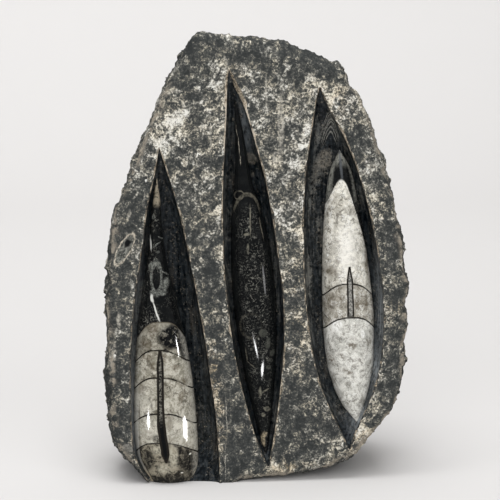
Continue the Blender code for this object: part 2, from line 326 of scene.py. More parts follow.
def spots(tree, place, marks, softness=0.35):
    # 1 inside any of the marks (x, z, radius across, radius up, turn)
    masks = [fade(tree, ellipse(tree, place, *mark), 1 + softness, 1 - softness) for mark in marks]
    return highest(tree, *masks)


def bumped(tree, shader, height, distance, strength=1.0):
    inputs = {"Height": height, "Distance": distance * millimetre, "Strength": strength}
    tree.links.new(addNode(tree, "Bump", inputs).outputs["Normal"], shader.inputs["Normal"])


camera = {
    "azimuth": math.radians(-4.0),
    "elevation": math.radians(12.0),
    "distance": 950.0,
    "target": (-3.755, -20.0, 129.85),
    "lens": 123.5,  # on a 36 mm sensor
}


def makeCamera():
    across, up = camera["azimuth"], camera["elevation"]
    back = Vector((math.sin(across) * math.cos(up), -math.cos(across) * math.cos(up), math.sin(up)))
    lens = bpy.data.cameras.new("camera")
    lens.lens = camera["lens"]
    lens.sensor_width = 36.0
    eye = bpy.data.objects.new("camera", lens)
    eye.location = (Vector(camera["target"]) + back * camera["distance"]) * millimetre
    eye.rotation_euler = back.to_track_quat("Z", "Y").to_euler()
    bpy.context.scene.collection.objects.link(eye)
    bpy.context.scene.camera = eye


makeCamera()
print("camera made")


shellMesh = {
    "sides": 128,
    "rings": 190,
    "footHeight": 0.4,  # a shell that runs out of the slab is cut this far above the base
    "unevenness": 0.09,  # how far the polished surface strays
    "unevenSize": 17.0,
    "smoothBelow": math.radians(40),  # edges flatter than this are shaded smooth
}


def shellForm(name, rows, grow, sides, rings):
    valuesAt, lowest, topmost = stationCurve(rows)

    def section(height, c, s):
        left, right, crest, halfDepth = valuesAt(height)
        x = (left + right) / 2 + c * np.maximum((right - left) / 2 + grow, 0.02)
        y = faceDepth(height) - crest + halfDepth + s * np.maximum(halfDepth + grow, 0.02)
        return x, y

    return drawnSphere(name, lowest - grow, topmost + grow, section, sides, rings)


def makeShell(name, rows):
    shell = shellForm(name + "_polished", rows, 0.0, shellMesh["sides"], shellMesh["rings"])
    points = readPoints(shell)
    left, right, _, _ = stationCurve(rows)[0](points[:, 2])
    across = (points[:, 0] - (left + right) / 2) / np.maximum((right - left) / 2, 0.1)
    writeAttribute(shell, "across", across)

    swell = [noise.noise(Vector(point) / shellMesh["unevenSize"]) for point in points]
    points += readNormals(shell) * shellMesh["unevenness"] * np.array(swell)[:, None]
    writePoints(shell, points)
    if points[:, 2].min() < shellMesh["footHeight"]:
        foot = (0, 0, shellMesh["footHeight"] * millimetre)
        cutting = {"plane_co": foot, "plane_no": (0, 0, -1), "use_fill": True, "clear_outer": True}
        inEditMode(shell, bpy.ops.mesh.bisect, **cutting)
    choose(shell)
    bpy.ops.object.shade_smooth_by_angle(angle=shellMesh["smoothBelow"])
    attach(shell, "root")
    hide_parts(name)
    return shell


# Colours that the three shells share.
calcite = {
    "white": (0.66, 0.66, 0.62),
    "milky": (0.54, 0.517, 0.440),
    "cloudy": (0.265, 0.25, 0.20),
    "smudge": (0.080, 0.070, 0.052),
    "brown": (0.115, 0.092, 0.062),
    "line": (0.016, 0.014, 0.011),
    "black": (0.0042, 0.0048, 0.0052),
    "smoke": (0.009, 0.010, 0.010),
    "wisp": (0.24, 0.235, 0.205),
}


def heightOf(tree, place):
    return addNode(tree, "SeparateXYZ", {0: place}).outputs["Z"]


def depthOf(tree, place):
    return addNode(tree, "SeparateXYZ", {0: place}).outputs["Y"]


def sideOf(tree, place):
    return addNode(tree, "SeparateXYZ", {0: place}).outputs["X"]


def arched(tree, place, rows):
    # height that is level along an arch across the shell, highest a little off its middle
    across = attribute(tree, "across")
    bow = product(tree, maths(tree, "SUBTRACT", 1.0, product(tree, across, across)), rows["apex"])
    off = maths(tree, "ABSOLUTE", maths(tree, "SUBTRACT", across, bow))
    lopsided = maths(tree, "ADD", maths(tree, "MULTIPLY", across, rows["skew"]), 1.0)
    drop = product(tree, maths(tree, "POWER", off, rows["power"]), rows["drop"], lopsided)
    return total(tree, heightOf(tree, place), drop, waver(tree, place, (9.0, 2), 1.2))


def lineAt(tree, value, centre, width, softness=0.35):
    # 1 where value is within half the width of the centre
    off = maths(tree, "ABSOLUTE", maths(tree, "SUBTRACT", value, centre))
    return fade(tree, off, width / 2 + softness, width / 2)


def calciteColour(tree, place, light, dull, mottling):
    # milky crystal with cloudy patches, dark grains and fine brown veins
    colour = mixed(tree, patchy(tree, place, (6.0, 5, 0.68, 0.4), 0.42, 0.58), dull, light)
    mottles = patchy(tree, place, (3.8, 5, 0.74, 0.6), 0.47, 0.61, 0.0, mottling)
    colour = mixed(tree, mottles, colour, calcite["smudge"])
    glow = patchy(tree, place, (1.8, 4, 0.72, 0.8), 0.52, 0.64, 0.0, 0.7)
    colour = mixed(tree, glow, colour, light)
    veins = highest(tree, threads(tree, place, 9.0, 0.016, 4, 1.4), threads(tree, place, 4.5, 0.014, 3, 1.0))
    veined = patchy(tree, place, (6.0, 3), 0.44, 0.60)
    colour = laid(tree, colour, calcite["brown"], veins, veined, mottling)
    grains = patchy(tree, place, (1.3, 3, 0.65, 0.5), 0.61, 0.70)
    grainy = patchy(tree, place, (8.0, 3), 0.44, 0.60)
    return laid(tree, colour, calcite["brown"], grains, grainy, 0.8)


def blackStone(tree, place, wispiness):
    # dark polished stone with smoky clouds and pale wisps; wispiness says where they lie
    smoke = patchy(tree, place, (5.0, 4, 0.65), 0.42, 0.66)
    colour = mixed(tree, smoke, calcite["black"], calcite["smoke"])
    wisps = product(tree, threads(tree, place, 4.0, 0.026, 4, 1.6), patchy(tree, place, (1.6, 3), 0.46, 0.60))
    specks = patchy(tree, place, (1.1, 3, 0.7, 0.8), 0.57, 0.67)
    return laid(tree, colour, calcite["wisp"], highest(tree, wisps, specks), wispiness)


def siphuncle(tree, place, height, rows, colour):
    # the tube along the shell's middle: two dark walls and a mottled core that fills with black downwards
    swing = fade(tree, height, *rows["swing"])
    middle = maths(tree, "ADD", rows["middle"], maths(tree, "MULTIPLY", swing, rows["shift"]))
    side = maths(tree, "ADD", sideOf(tree, place), waver(tree, place, (5.0, 2), 0.5))
    off = maths(tree, "ABSOLUTE", maths(tree, "SUBTRACT", side, middle))
    half = fade(tree, height, *rows["tip"], 0.2, rows["half"])
    half = maths(tree, "ADD", half, fade(tree, height, *rows["widening"], 0.0, rows["wider"]))
    half = product(tree, half, fade(tree, height, *rows["foot"]))
    gap = maths(tree, "SUBTRACT", off, half)
    top, bottom = rows["top"], rows["bottom"]
    span = product(tree, fade(tree, height, top + 0.6, top), fade(tree, height, bottom - 0.6, bottom))
    uneven = maths(tree, "ADD", height, maths(tree, "MULTIPLY", cloud(tree, place, 3.0, 3), 14.0))
    mottle = mixed(tree, patchy(tree, place, (1.1, 4, 0.7), 0.42, 0.60), rows["grain"], rows["core"])
    mottle = mixed(tree, fade(tree, uneven, *rows["filled"]), mottle, calcite["black"])
    colour = laid(tree, colour, mottle, fade(tree, gap, 0.25, -0.1), span)
    return laid(tree, colour, calcite["line"], lineAt(tree, gap, 0.0, rows["wall"]), span)


def septa(tree, place, level, heights, colour):
    # the walls between the chambers, as thin dark lines that fade here and there
    lines = highest(tree, *[lineAt(tree, level, height, 0.5, 0.4) for height in heights])
    return laid(tree, colour, calcite["line"], lines, patchy(tree, place, (7.0, 3), 0.28, 0.50, 0.45, 1.0))


def polish(tree, shader, place, low, high):
    # roughness between low and high, and a very shallow unevenness
    tree.links.new(patchy(tree, place, (6.0, 4, 0.6), 0.3, 0.7, low, high), shader.inputs["Roughness"])
    bumped(tree, shader, cloud(tree, place, 3.5, 3, 0.5), 0.012)


leftShell = {
    "arch": {"apex": -0.15, "power": 2.6, "drop": 9.5, "skew": 0.0},
    "domeArch": {"apex": 0.06, "power": 3.6, "drop": 11.5, "skew": 0.0},
    "domeTop": 92.1,
    "septa": (76.9, 61.7, 41.6, 25.1),
    "siphuncle": {
        "middle": -54.4, "shift": 2.7, "swing": (40.0, 12.0), "half": 1.3, "tip": (77.5, 69.0), "wider": 0.45,
        "widening": (48.0, 34.0), "foot": (12.5, 19.0), "wall": 0.95, "top": 76.5, "bottom": 13.4,
        "filled": (49.0, 41.0), "core": (0.21, 0.20, 0.17), "grain": calcite["black"],
    },
    "whorl": (-55.8, 116.3, 2.4, 7.2, 0.0),  # the pale ring above the dome
    "pale": [
        (-50.9, 112.6, 2.0, 3.6, 12.0), (-58.0, 108.0, 1.6, 1.5, 0.0), (-52.8, 108.2, 2.4, 1.5, 0.0),
        (-58.8, 122.6, 1.1, 2.2, 20.0), (-54.8, 130.6, 0.8, 0.8, 0.0), (-57.2, 149.4, 1.1, 0.9, 0.0),
        (-55.6, 134.3, 2.6, 0.45, -35.0), (-52.9, 138.0, 1.6, 0.4, 30.0), (-52.0, 119.5, 3.6, 0.35, 40.0),
    ],
    "streaks": [
        (-58.6, 135.0, 0.45, 4.0, -3.0), (-58.4, 105.3, 0.8, 2.2, -10.0), (-56.2, 98.2, 0.5, 5.6, -20.0),
    ],
    "tanTip": 156.0,
    # patches round the glints on the lower body, lightened as painted highlight
    "clear": [(-63.0, 33.5, 6.0, 6.0, 0.0), (-43.0, 33.5, 8.0, 6.5, 0.0), (-64.0, 48.0, 5.0, 6.0, 0.0)],
    "network": [(-47.0, 83.8, 8.8, 6.6, 0.0), (-39.6, 78.0, 4.6, 11.0, -10.0), (-41.0, 88.0, 4.6, 4.4, 0.0),
                (-51.5, 75.5, 1.6, 2.6, 0.0)],
    "stains": [
        (-58.3, 88.0, 2.8, 4.0, 0.0), (-48.0, 79.0, 3.0, 2.0, 0.0), (-49.6, 35.7, 1.4, 4.2, 0.0),
        (-49.4, 27.2, 0.9, 2.6, 0.0), (-61.5, 73.0, 3.0, 1.6, 0.0), (-42.0, 58.0, 2.0, 2.4, 0.0),
        (-62.0, 31.0, 2.2, 0.8, 10.0), (-58.0, 68.0, 1.6, 2.2, 0.0), (-62.0, 80.0, 3.5, 2.5, 30.0),
        (-52.6, 72.5, 1.8, 3.0, 0.0), (-43.0, 50.0, 1.6, 3.6, 20.0), (-65.0, 55.0, 1.4, 3.0, 0.0),
        (-37.5, 66.0, 1.4, 3.6, -10.0), (-46.0, 67.0, 2.4, 1.4, 0.0),
    ],
    "smudges": [(-56.9, 27.6, 1.9, 2.4, -20.0), (-59.6, 46.0, 0.7, 1.4, 0.0), (-60.2, 50.0, 0.6, 0.9, 0.0)],
    "murkDark": [
        (-61.4, 14.4, 3.0, 5.6, 0.0), (-39.6, 12.2, 4.6, 8.0, 0.0), (-43.0, 19.4, 2.0, 1.8, 0.0),
        (-38.6, 20.4, 2.6, 1.0, 15.0), (-50.0, 1.0, 16.0, 4.0, 0.0),
    ],
    "murkPale": [(-47.6, 16.8, 2.4, 6.6, 0.0), (-56.0, 21.0, 3.4, 2.6, 0.0), (-52.8, 9.4, 3.6, 3.0, 0.0)],
    "sparks": [(-38.1, 16.9, 0.6, 0.6, 30.0), (-43.0, 6.6, 0.6, 0.4, 0.0)],
    # levels between which each sets in
    "veil": (76.7, 77.2),
    "networkFoot": (75.6, 76.6),
    "murkTop": (25.6, 24.2),
    "colours": {
        # the skin colours are the shell's skin lightened with painted light for a lit rim
        "mud": (0.026, 0.023, 0.018), "olive": (0.30, 0.27, 0.205), "murkPale": (0.50, 0.47, 0.375),
        "murkDark": (0.014, 0.0135, 0.012), "spark": (0.80, 0.78, 0.70), "skinAndRimLight": (0.34, 0.335, 0.31),
        "skinAndRimLightFoot": (0.46, 0.39, 0.28), "lit": (0.80, 0.77, 0.68), "mark": (0.30, 0.31, 0.28),
        "tip": (0.36, 0.31, 0.23),
    },
}


def murkColour(tree, place, ragged, speckle):
    # the lowest chamber: olive brown with dark and pale patches and a few sparks
    tints = leftShell["colours"]
    colour = mixed(tree, patchy(tree, place, (3.6, 5, 0.74, 0.5), 0.42, 0.58), tints["mud"], tints["olive"])
    pale = spots(tree, ragged, leftShell["murkPale"], 0.6)
    colour = laid(tree, colour, tints["murkPale"], pale, speckle, 0.9)
    dark = spots(tree, ragged, leftShell["murkDark"], 0.6)
    thinned = patchy(tree, place, (1.6, 4, 0.72), 0.36, 0.52, 0.5, 1.0)
    colour = laid(tree, colour, tints["murkDark"], dark, thinned, 0.95)
    return mixed(tree, spots(tree, ragged, leftShell["sparks"]), colour, tints["spark"])


def paintLeftShell():
    material, tree, shader = newMaterial("left shell")
    place = placeOnPiece(tree)
    ragged = wavered(tree, place, 3.0, 0.6)
    height, across = heightOf(tree, place), attribute(tree, "across")
    tints = leftShell["colours"]

    pale = calciteColour(tree, place, calcite["milky"], calcite["cloudy"], 0.8)
    speckle = patchy(tree, place, (1.4, 4, 0.72), 0.40, 0.56, 0.3, 1.0)
    pale = laid(tree, pale, calcite["brown"], spots(tree, ragged, leftShell["stains"], 0.6), speckle, 0.8)
    pale = laid(tree, pale, calcite["line"], spots(tree, ragged, leftShell["smudges"], 0.4), speckle, 0.9)
    level = arched(tree, place, leftShell["arch"])
    pale = mixed(tree, fade(tree, level, *leftShell["veil"], 0.0, 0.28), pale, calcite["smudge"])
    network = spots(tree, ragged, leftShell["network"], 0.25)
    veined = patchy(tree, place, (2.4, 4, 0.74), 0.38, 0.48, 0.3, 1.0)
    pale = laid(tree, pale, calcite["black"], network, veined, fade(tree, level, *leftShell["networkFoot"]))
    murk = murkColour(tree, place, ragged, speckle)
    pale = mixed(tree, fade(tree, level, *leftShell["murkTop"]), pale, murk)

    # the strip of skin down the left edge, its colour partly painted light for a lit rim there, with a dark
    # seam beside it
    leftEdge = total(tree, across, fade(tree, height, 16.0, 2.0, 0.0, -0.16))
    skinAndRimLightColour = mixed(tree, fade(tree, height, 12.0, 4.0), tints["skinAndRimLight"], tints["skinAndRimLightFoot"])
    skinAndRimLight = fade(tree, leftEdge, -0.80, -0.84)
    pale = laid(tree, pale, skinAndRimLightColour, skinAndRimLight, fade(tree, height, 60.0, 30.0), 0.85)
    seam = lineAt(tree, leftEdge, -0.79, 0.01, 0.02)
    pale = laid(tree, pale, calcite["line"], seam, fade(tree, height, 60.0, 40.0), 0.6)
    # painted highlight: the right edge and the patches round the glints are lightened for light falling on
    # them
    lit = highest(tree, fade(tree, across, 0.70, 0.92), spots(tree, ragged, leftShell["clear"], 0.8))
    pale = laid(tree, pale, tints["lit"], lit, speckle, 0.4)
    pale = septa(tree, place, level, leftShell["septa"], pale)
    pale = siphuncle(tree, place, height, leftShell["siphuncle"], pale)

    sides = fade(tree, across, 0.6, -0.3, 0.25, 0.9)
    dark = blackStone(tree, place, product(tree, sides, patchy(tree, place, (12.0, 3), 0.36, 0.60)))
    ring = ellipse(tree, ragged, *leftShell["whorl"])
    ring = product(tree, fade(tree, ring, 0.80, 1.0), fade(tree, ring, 1.60, 1.20))
    marks = highest(tree, ring, spots(tree, ragged, leftShell["pale"]))
    knots = patchy(tree, place, (1.2, 3, 0.7), 0.54, 0.62)
    lace = highest(tree, threads(tree, place, 3.0, 0.05, 3, 1.0), knots)
    dark = laid(tree, dark, tints["mark"], marks, maths(tree, "MAXIMUM", lace, 0.25), 0.72)
    dark = laid(tree, dark, calcite["white"], spots(tree, ragged, leftShell["streaks"]), 0.95)
    tip = fade(tree, height, leftShell["tanTip"] - 2.0, leftShell["tanTip"] + 2.0)
    dark = laid(tree, dark, tints["tip"], tip, patchy(tree, place, (1.8, 3, 0.6), 0.36, 0.50, 0.2, 1.0), 0.8)

    dome, domeTop = arched(tree, place, leftShell["domeArch"]), leftShell["domeTop"]
    colour = mixed(tree, fade(tree, dome, domeTop + 0.5, domeTop - 0.5), dark, pale)
    colour = laid(tree, colour, calcite["brown"], lineAt(tree, dome, domeTop, 0.3), 0.5)
    tree.links.new(colour, shader.inputs["Base Color"])
    polish(tree, shader, place, 0.11, 0.16)
    return material


middleShell = {
    "veins": [
        (-12.0, 203.5, 0.18, 3.0, -5.0), (-11.0, 196.5, 0.16, 3.2, -8.0), (-9.7, 187.5, 0.20, 4.8, -4.0),
        (-9.0, 180.0, 0.30, 2.2, 0.0),
    ],
    "arch": (-5.5, 147.0, 7.6, 14.6, 0.0),
    "diamond": (-9.9, 161.0, 2.2, 2.6, 45.0),
    # pale lumps; the second is a soft painted highlight
    "lumpsAndHighlight": [
        (-5.9, 139.6, 1.6, 0.8, 0.0), (-5.3, 131.5, 0.6, 2.6, 0.0), (1.2, 50.8, 0.8, 3.0, 0.0),
        (4.0, 51.6, 2.2, 0.5, -30.0), (5.0, 41.2, 1.9, 1.3, 20.0), (2.8, 37.8, 1.2, 1.1, 0.0),
        (-3.9, 147.5, 0.45, 8.0, 0.0),
    ],
    "flakes": [
        (2.8, 84.5, 2.3, 2.4, 0.0), (5.6, 78.3, 1.6, 3.3, 8.0), (8.5, 72.7, 1.5, 2.0, 30.0),
        (7.2, 68.6, 1.5, 1.2, 20.0), (6.0, 64.9, 1.5, 1.2, 20.0),
    ],
    "ring": (-3.6, 88.5, 6.0, 6.9, 0.0),
    "strokes": [(-6.3, 72.0, 0.3, 3.6, -8.0), (-3.8, 66.5, 0.3, 2.8, -50.0), (2.4, 142.0, 0.3, 6.0, -11.0)],
    "tanSpot": [(2.9, 23.4, 1.2, 3.6, -4.0), (3.6, 26.6, 1.4, 1.3, 0.0)],
    "colours": {
        "flake": (0.066, 0.068, 0.058), "lumpAndHighlight": (0.20, 0.19, 0.15), "line": (0.150, 0.138, 0.108),
        "vein": (0.36, 0.33, 0.27), "tan": (0.42, 0.35, 0.24),
    },
}


def paintMiddleShell():
    material, tree, shader = newMaterial("middle shell")
    place = placeOnPiece(tree)
    ragged = wavered(tree, place, 2.5, 0.45)
    height, across = heightOf(tree, place), attribute(tree, "across")
    tints = middleShell["colours"]
    centred = fade(tree, maths(tree, "ABSOLUTE", across), 0.95, 0.25)
    levels = product(tree, fade(tree, height, 160.0, 146.0), fade(tree, height, 30.0, 60.0, 0.35, 1.0))
    wispiness = product(tree, centred, levels, patchy(tree, place, (7.0, 4), 0.38, 0.58, 0.2, 1.0))
    colour = blackStone(tree, place, wispiness)

    grain = patchy(tree, place, (1.5, 3, 0.6), 0.34, 0.56, 0.25, 1.0)
    colour = laid(tree, colour, tints["flake"], spots(tree, ragged, middleShell["flakes"], 0.2), grain, 0.75)
    # pale lumps, and one soft painted highlight
    colour = laid(tree, colour, tints["lumpAndHighlight"], spots(tree, ragged, middleShell["lumpsAndHighlight"]), grain, 0.8)
    ring = lineAt(tree, ellipse(tree, ragged, *middleShell["ring"]), 1.0, 0.06, 0.12)
    ring = product(tree, ring, fade(tree, across, 0.3, -0.4, 0.2, 1.0), grain, 0.4)
    diamond = lineAt(tree, ellipse(tree, ragged, *middleShell["diamond"]), 1.0, 0.08, 0.16)
    arch = lineAt(tree, ellipse(tree, ragged, *middleShell["arch"]), 1.0, 0.06, 0.07)
    arch = product(tree, arch, fade(tree, height, 149.0, 156.0))
    lines = highest(tree, ring, diamond, arch, spots(tree, ragged, middleShell["strokes"]))
    colour = laid(tree, colour, tints["line"], lines, grain, 0.75)
    colour = laid(tree, colour, tints["vein"], spots(tree, ragged, middleShell["veins"]), grain, 0.8)
    tan = spots(tree, wavered(tree, place, 2.0, 0.9), middleShell["tanSpot"])
    colour = laid(tree, colour, tints["tan"], tan, grain, 0.9)
    tree.links.new(colour, shader.inputs["Base Color"])
    polish(tree, shader, place, 0.06, 0.10)
    return material


rightShell = {
    "arch": {"apex": 0.0, "power": 2.6, "drop": 8.6, "skew": 0.0},
    "crestArch": {"apex": -0.06, "power": 2.5, "drop": 28.0, "skew": 0.5},
    "whiteTop": 168.6,
    "septa": (111.6, 92.9),
    "siphuncle": {
        "middle": 50.9, "shift": 0.6, "swing": (120.0, 94.0), "half": 1.35, "tip": (122.0, 112.0),
        "wider": 0.15, "widening": (112.0, 96.0), "foot": (80.0, 90.0), "wall": 0.6, "top": 121.0,
        "bottom": 93.6, "filled": (104.0, 96.0), "core": (0.36, 0.35, 0.32), "grain": (0.10, 0.10, 0.095),
    },
    "centreLine": (46.4, 176.0, 0.7, 8.5, -5.0),
    # white specks; the first two of them are painted glints
    "specksAndPaintedGlints": [(44.1, 88.4, 2.6, 3.2, 25.0), (58.4, 83.2, 1.2, 2.2, -15.0), (39.0, 127.0, 0.6, 0.7, 0.0),
               (53.1, 156.8, 0.6, 0.7, 0.0), (58.6, 119.2, 0.7, 0.8, 0.0)],
    "glassy": [(52.5, 77.8, 2.4, 3.2, 0.0), (40.6, 68.1, 2.8, 2.6, 0.0), (41.0, 101.5, 2.8, 3.4, 0.0),
               (55.5, 100.5, 2.0, 3.4, 0.0), (60.4, 99.0, 1.6, 3.8, -10.0), (50.0, 62.0, 3.2, 1.4, 20.0),
               (46.5, 104.0, 1.6, 2.4, 0.0), (62.0, 78.0, 1.8, 1.6, 0.0), (47.0, 71.0, 2.4, 1.2, 30.0)],
    "brown": [(40.4, 118.6, 3.6, 3.0, 0.0), (61.4, 122.4, 1.4, 6.5, 0.0), (44.0, 124.0, 2.0, 1.2, 0.0)],
    # a soft painted highlight on the upper white part
    "glow": (49.6, 131.0, 5.0, 13.0, 0.0),
    "ghostArc": (38.3, 92.3, 2.2, 0.3, 38.0),
    "colours": {
        "upper": ((0.78, 0.75, 0.665), (0.43, 0.41, 0.355)),  # light, dull
        "lower": ((0.77, 0.76, 0.705), (0.50, 0.495, 0.455)),
        "frost": (0.80, 0.80, 0.76), "specksAndPaintedGlints": (0.90, 0.90, 0.87), "glow": (0.90, 0.88, 0.82),
        "border": (0.30, 0.30, 0.265), "centre": (0.085, 0.092, 0.100),
    },
}


def paintRightShell():
    material, tree, shader = newMaterial("right shell")
    place = placeOnPiece(tree)
    ragged = wavered(tree, place, 2.5, 0.5)
    height, across = heightOf(tree, place), attribute(tree, "across")
    level = arched(tree, place, rightShell["arch"])
    tints = rightShell["colours"]

    upper = calciteColour(tree, place, *tints["upper"], 0.8)
    lower = calciteColour(tree, place, *tints["lower"], 0.65)
    pale = mixed(tree, fade(tree, level, 93.1, 92.6), upper, lower)
    chamber = product(tree, fade(tree, level, 92.8, 93.3), fade(tree, level, 112.0, 111.4))
    pale = laid(tree, pale, calcite["brown"], chamber, 0.36)
    frosted = patchy(tree, place, (6.0, 3), 0.44, 0.56, 0.1, 0.85)
    pale = laid(tree, pale, tints["frost"], threads(tree, place, 4.0, 0.050, 4, 1.6), frosted)
    speckle = patchy(tree, place, (1.6, 4, 0.72), 0.42, 0.58, 0.2, 1.0)
    pale = laid(tree, pale, calcite["brown"], spots(tree, ragged, rightShell["brown"], 0.6), 0.6)
    pale = laid(tree, pale, calcite["brown"], spots(tree, ragged, rightShell["glassy"], 0.7), speckle, 0.85)
    # white specks, and two painted glints on the lower body
    pale = laid(tree, pale, tints["specksAndPaintedGlints"], spots(tree, ragged, rightShell["specksAndPaintedGlints"]), speckle)
    # painted highlight: a soft white patch where light is reflected
    pale = laid(tree, pale, tints["glow"], spots(tree, place, [rightShell["glow"]], 0.95), 0.62)
    pale = laid(tree, pale, calcite["line"], spots(tree, place, [rightShell["ghostArc"]]), 0.7)
    pale = septa(tree, place, level, rightShell["septa"], pale)
    pale = siphuncle(tree, place, height, rightShell["siphuncle"], pale)

    edge = fade(tree, maths(tree, "ABSOLUTE", across), 0.62, 0.88)
    border = highest(tree, edge, fade(tree, height, 174.5, 180.5))
    flecked = patchy(tree, place, (1.7, 4, 0.7), 0.36, 0.52, 0.1, 1.0)
    dark = blackStone(tree, place, patchy(tree, place, (9.0, 3), 0.4, 0.6, 0.0, 0.5))
    dark = laid(tree, dark, tints["border"], border, fade(tree, height, 150.0, 166.0), flecked, 0.8)
    centre = spots(tree, place, [rightShell["centreLine"]], 0.5)
    dark = laid(tree, dark, tints["centre"], centre, 0.8)

    crest, whiteTop = arched(tree, ragged, rightShell["crestArch"]), rightShell["whiteTop"]
    colour = mixed(tree, fade(tree, crest, whiteTop + 0.8, whiteTop - 0.8), dark, pale)
    tree.links.new(colour, shader.inputs["Base Color"])
    polish(tree, shader, place, 0.22, 0.32)
    return material


shellFinish = {
    "orthoceras_left": (paintLeftShell, "grey_calcite"),
    "orthoceras_middle": (paintMiddleShell, "black_calcite"),
    "orthoceras_right": (paintRightShell, "white_calcite"),
}

for name, rows in shells.items():
    paint, slotName = shellFinish[name]
    shell = makeShell(name, rows)
    shell.data.materials.append(paint())
print("shells made")


slab = {
    "voxel": 1.3,
    "faceRelief": 0.35,
    "chipSizes": (11.0, 5.0),  # two sizes of broken facet
    "chipReach": (3.0, 1.8),
    "grainReach": 0.45,
    "crumbSize": 3.1,  # rounded knobs all over the broken stone
    "crumbReach": 1.4,
    "brokenFrom": 1.0,  # distances behind the face between which the broken surface sets in
    "brokenTo": 4.0,
    "levelBelow": 4.0,  # the sawn base stays flat
    # outline corrections: x, z, radius, shift across, shift up
    "shifts": [(-73.0, 8.0, 13.0, 3.0, 0.0), (-48.0, 238.0, 9.0, 1.4, -1.4), (0.0, 244.0, 16.0, 0.0, 1.8)],
    "grooveMargin": 1.2,
    "grooveFill": 1.2,  # the stone in a groove is built up by this, so that the cut leaves a clean wall
    "socketOverlap": 0.15,
    "socketMesh": (64, 90),  # sides, rings
    "smoothBelow": math.radians(38),
    "footFill": ((-50.0, -19.0), (0.0, 30.0), (0.5, 18.0)),  # left to right, up, behind the face
}

grooveCut = {
    "sides": 96,
    "rings": 130,
    "trough": (0.8, 0.9),  # squareness across and down
    "front": (0.25, 0.5),  # the same for the part of the cutter in front of the rim
    "reachInFront": 14.0,
    "flare": 3.2,  # it widens by this in front of the rim, so that the edge is ground off at 45 degrees
    "rim": 0.7,  # how far behind the face the ground edge starts
    "rimNoise": 0.9,
    "rimNoiseSize": 6.0,
    "rimSidesApart": 9.0,  # how far from the middle each side reads the noise
    "deepestRim": (0.55, 0.75),  # share of the groove's depth, the second for the one with the wide tip
    # groove, height, reach, how much deeper its rim starts at the left and at the right
    "wideTip": ("middle", 220.0, 19.0, 1.4, 2.6),
}


def footFiller():
    # a block in the left groove's foot, so that the groove can run out shallow there
    sides, heights, depths = slab["footFill"]
    bpy.ops.mesh.primitive_cube_add(size=1.0)
    block = bpy.context.object
    points = readPoints(block)
    spans = enumerate((sides, depths, heights))
    x, y, z = (np.where(points[:, i] > 0, ends[1], ends[0]) for i, ends in spans)
    writePoints(block, np.stack([x, faceDepth(z) + y, z], axis=1))
    return block


def rawStone():
    # slab and shells fused, so that the sockets are filled, with even small faces all over
    parts = [footFiller()]
    for name in ("limestone_slab", *shells):
        part = bpy.data.objects.new("stone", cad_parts[name].data.copy())
        bpy.context.scene.collection.objects.link(part)
        parts.append(part)
    choose(parts[0])
    for part in parts:
        part.select_set(True)
    bpy.ops.object.join()
    stone = bpy.context.object
    stone.name = stone.data.name = "limestone_carved"
    stone.data.materials.clear()
    inEditMode(stone, bpy.ops.mesh.remove_doubles, threshold=0.01 * millimetre)
    applyModifier(stone, "REMESH", mode="VOXEL", voxel_size=slab["voxel"] * millimetre)
    return stone


def chip(spot):
    # height of a flat facet that is tilted its own way in each cell
    corner = noise.voronoi(spot)[1][0]
    return noise.noise_vector(corner * 3.7).dot(spot - corner)


def insideGroove(points, margin):
    # True where a point lies in a groove, or closer to one than the margin
    inside = np.zeros(len(points), bool)
    for rows in grooves.values():
        valuesAt, lowest, topmost = stationCurve(rows)
        left, right, depth = valuesAt(points[:, 2])
        level = (points[:, 2] > lowest - margin) & (points[:, 2] < topmost + margin)
        behind = points[:, 1] - faceDepth(points[:, 2])
        across = (points[:, 0] > left - margin) & (points[:, 0] < right + margin)
        inside |= level & across & (behind > slab["faceRelief"]) & (behind < depth + margin)
    return inside


def breakSurface(stone):
    # gives the broken sides and back their chips and the face a fine roughness
    points, normals = readPoints(stone), readNormals(stone)
    broken = eased(points[:, 1] - faceDepth(points[:, 2]), slab["brokenFrom"], slab["brokenTo"])
    raised = eased(points[:, 2], 0.3, slab["levelBelow"])
    carved = insideGroove(points, slab["grooveMargin"])
    heights = np.zeros(len(points))
    for i, point in enumerate(points):
        spot = Vector(point)
        fine = noise.fractal(spot / 2.6, 1.0, 2.0, 3)
        heights[i] = (1 - broken[i]) * slab["faceRelief"] * (fine + noise.noise(spot / 9.0))
        if broken[i] > 0:
            chips = [reach * chip(spot / size) for size, reach in zip(slab["chipSizes"], slab["chipReach"])]
            crumb = slab["crumbReach"] * (0.4 - noise.voronoi(spot / slab["crumbSize"])[0][0])
            heights[i] += broken[i] * (sum(chips) + crumb + slab["grainReach"] * fine)
    heights = np.where(carved, slab["grooveFill"], heights * raised)
    points = points + normals * heights[:, None]
    for x, z, radius, across, up in slab["shifts"]:
        near = np.exp(-((points[:, 0] - x) ** 2 + (points[:, 2] - z) ** 2) / radius**2)
        points += near[:, None] * np.array([across, 0.0, up])
    points[:, 2] = np.maximum(points[:, 2], 0)
    writePoints(stone, points)


